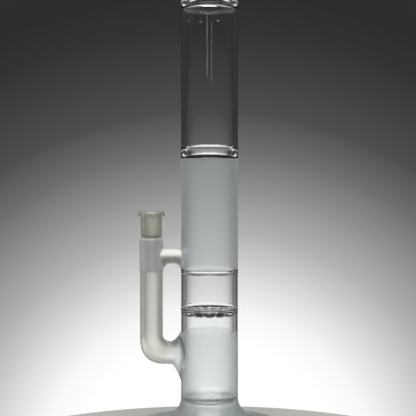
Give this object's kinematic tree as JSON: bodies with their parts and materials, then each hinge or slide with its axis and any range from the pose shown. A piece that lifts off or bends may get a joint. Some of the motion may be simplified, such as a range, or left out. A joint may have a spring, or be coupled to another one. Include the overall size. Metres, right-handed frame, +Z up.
{
  "type": "glass water pipe",
  "caption": "Straight glass water pipe with a flared foot, slotted diffuser disc, sand-blasted and clear sections, bridged side arm and a lift-out ground joint adapter.",
  "frame": {"origin": "on the column's axis, at the plane the foot stands on", "axes": "+Z up along the column, -X towards the side arm, -Y towards the viewer"},
  "size_m": [0.136, 0.136, 0.404],
  "materials": {
    "frosted_glass": "sand-blasted outside, fire-polished inside",
    "clear_glass": "fire-polished",
    "ground_glass": "lightly sand-blasted outside, ground in the taper"
  },
  "bodies": {
    "column": {"foot": "frosted_glass", "chamber_floor": "frosted_glass", "chamber_tube": "frosted_glass", "window_tube": "clear_glass", "diffuser_disc": "clear_glass", "seam_ring": "clear_glass", "middle_tube": "frosted_glass", "middle_ring": "clear_glass", "neck_tube": "clear_glass", "top_ring": "clear_glass", "mouthpiece": "clear_glass", "side_port": "frosted_glass", "arm_elbow": "frosted_glass", "arm_tube": "frosted_glass", "joint_socket": "ground_glass", "bridge": "frosted_glass"},
    "adapter": {"adapter_cone": "ground_glass", "adapter_socket": "ground_glass"}
  },
  "joints": [
    {"name": "adapter_lift", "type": "slide", "parent": "column", "child": "adapter", "axis": [0, 0, 1], "range_m": [0, 0.06]}
  ]
}
